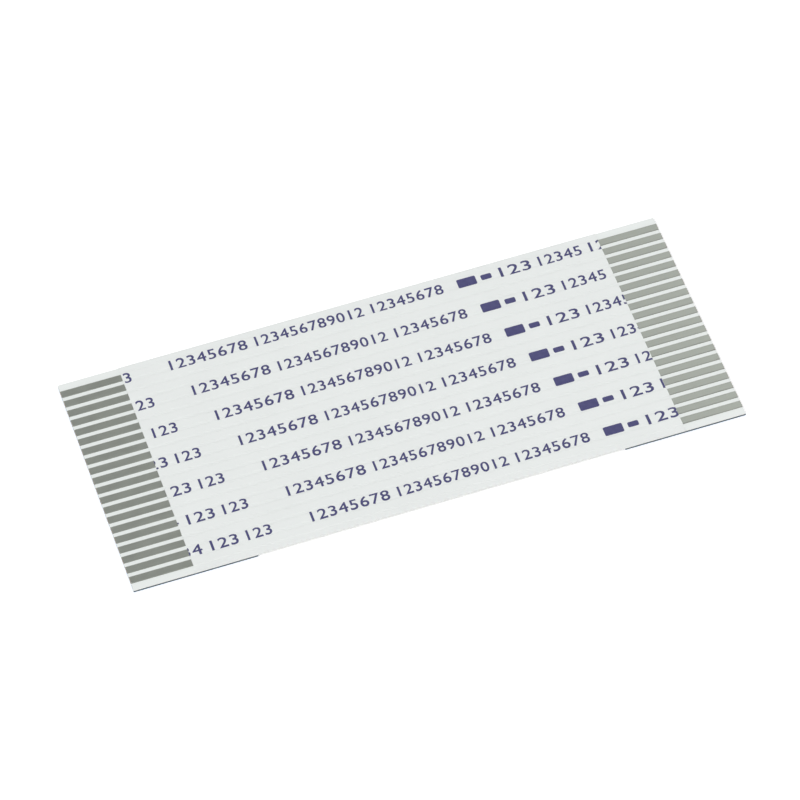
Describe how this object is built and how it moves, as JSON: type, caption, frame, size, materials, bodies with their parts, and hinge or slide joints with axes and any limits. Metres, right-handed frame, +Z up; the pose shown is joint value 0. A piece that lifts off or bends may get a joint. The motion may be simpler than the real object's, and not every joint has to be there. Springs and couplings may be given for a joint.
{
  "type": "flat flex cable",
  "caption": "Short white flat flex cable with bare tinned contacts on one side of both ends, blue stiffeners under them and violet print.",
  "frame": {"origin": "under the middle of the cable, in the plane of the stiffeners' undersides", "axes": "+X along the cable, +Y across it, +Z up from the stiffeners to the contacts"},
  "size_m": [0.05, 0.021, 0.0003],
  "materials": {
    "tinned_copper": "satin tin plating on flat rolled copper",
    "white_film": "satin white polyester film with soft lengthwise ridges",
    "blue_tape": "satin blue polyester tape",
    "ink": "matt violet ink"
  },
  "bodies": {
    "root": {"conductor_01": "tinned_copper", "conductor_02": "tinned_copper", "conductor_03": "tinned_copper", "conductor_04": "tinned_copper", "conductor_05": "tinned_copper", "conductor_06": "tinned_copper", "conductor_07": "tinned_copper", "conductor_08": "tinned_copper", "conductor_09": "tinned_copper", "conductor_10": "tinned_copper", "conductor_11": "tinned_copper", "conductor_12": "tinned_copper", "conductor_13": "tinned_copper", "conductor_14": "tinned_copper", "conductor_15": "tinned_copper", "conductor_16": "tinned_copper", "conductor_17": "tinned_copper", "conductor_18": "tinned_copper", "conductor_19": "tinned_copper", "conductor_20": "tinned_copper", "film_top": "white_film", "film_bottom": "white_film", "stiffener_left": "blue_tape", "stiffener_right": "blue_tape", "print": "ink"}
  },
  "joints": []
}
